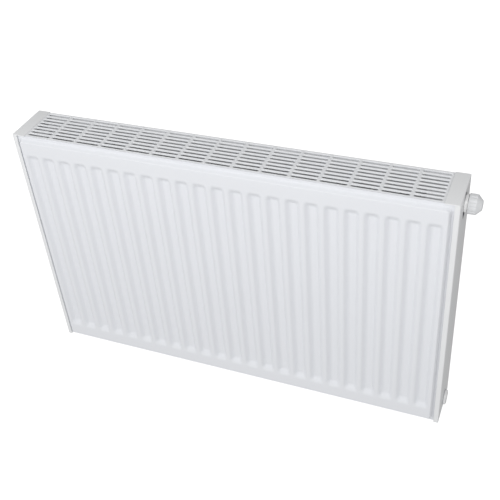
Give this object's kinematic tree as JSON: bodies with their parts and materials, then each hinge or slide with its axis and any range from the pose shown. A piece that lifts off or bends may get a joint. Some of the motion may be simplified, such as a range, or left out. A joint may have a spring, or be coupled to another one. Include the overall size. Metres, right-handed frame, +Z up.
{
  "type": "panel radiator with valve",
  "caption": "Wall-hung steel panel radiator: ribbed panels with fins between, slotted top grille, side covers, and a built-in valve under a ribbed cap at one end.",
  "frame": {"origin": "bottom centre of the outer box: on the level of the panels' bottom edges, half way between the cap's tip and the vent's tip, and half way between the room-side face and the back of the wall lugs; the middle of the panels is 7.9 mm to -X and 4.5 mm to -Y of it", "axes": "+X along the radiator towards the valve end, +Y towards the wall, -Y towards the room, +Z up"},
  "size_m": [0.8406, 0.109, 0.5],
  "materials": {
    "white_enamel": "white baked enamel, semi-gloss",
    "cover_enamel": "white baked enamel, semi-gloss, a shade greyer than the panels",
    "fin_primer": "thin light grey primer coat",
    "brass": "turned brass",
    "spring_steel": "bright stainless steel",
    "plated_steel": "satin nickel plate",
    "white_plastic": "satin moulded plastic",
    "grey_plastic": "moulded plastic",
    "rubber": "matt black rubber"
  },
  "bodies": {
    "radiator": {"front_panel_outer_sheet": "white_enamel", "front_panel_inner_sheet": "white_enamel", "rear_panel_inner_sheet": "white_enamel", "rear_panel_outer_sheet": "white_enamel", "front_convector": "fin_primer", "rear_convector": "fin_primer", "top_grille": "white_enamel", "side_cover_left": "cover_enamel", "side_cover_right": "cover_enamel", "tee_top_left": "white_enamel", "tee_top_right": "white_enamel", "tee_bottom_left": "white_enamel", "tee_bottom_right": "white_enamel", "supply_connector": "white_enamel", "connector_bridge": "white_enamel", "riser_tube": "white_enamel", "wall_lug_top_left": "white_enamel", "wall_lug_top_right": "white_enamel", "wall_lug_bottom_left": "white_enamel", "wall_lug_bottom_right": "white_enamel", "valve_insert_body": "brass", "valve_insert_o_ring": "rubber", "spacer_ring": "white_plastic", "valve_gland": "brass", "valve_gland_o_ring": "rubber", "valve_spring_seat": "spring_steel", "valve_spring": "spring_steel", "vent_plug": "plated_steel", "vent_plug_o_ring": "rubber", "blank_plug_left": "white_plastic", "blank_plug_left_o_ring": "rubber", "blank_plug_right": "white_plastic", "blank_plug_right_o_ring": "rubber"},
    "valve_stem": {"valve_pin": "spring_steel", "valve_cone": "brass", "valve_cone_seal": "rubber"},
    "hand_cap": {"hand_cap": "white_plastic"},
    "presetting_dial": {"presetting_dial": "grey_plastic"},
    "vent_nozzle": {"vent_nozzle": "white_plastic"},
    "bleed_screw": {"bleed_screw": "plated_steel", "bleed_screw_seal": "rubber"}
  },
  "joints": [
    {"name": "valve_pin_slide", "type": "slide", "parent": "radiator", "child": "valve_stem", "axis": [1, 0, 0], "range_m": [-0.0015, 0.0015]},
    {"name": "hand_cap_turn", "type": "hinge", "parent": "valve_stem", "child": "hand_cap", "pos_m": [0.4071, -0.0045, 0.475], "axis": [1, 0, 0], "range_deg": [-360, 360]},
    {"name": "presetting_dial_turn", "type": "hinge", "parent": "radiator", "child": "presetting_dial", "pos_m": [0.4091, -0.0045, 0.475], "axis": [1, 0, 0], "range_deg": [0, 315]},
    {"name": "vent_nozzle_turn", "type": "hinge", "parent": "radiator", "child": "vent_nozzle", "pos_m": [-0.4159, -0.0045, 0.475], "axis": [-1, 0, 0], "continuous": true},
    {"name": "bleed_screw_turn", "type": "hinge", "parent": "radiator", "child": "bleed_screw", "pos_m": [-0.4129, -0.0045, 0.475], "axis": [-1, 0, 0], "range_deg": [0, 360]}
  ],
  "couplings": [
    {"joint": "valve_pin_slide", "follows": "hand_cap_turn", "m_per_rad": 0.0002387}
  ]
}
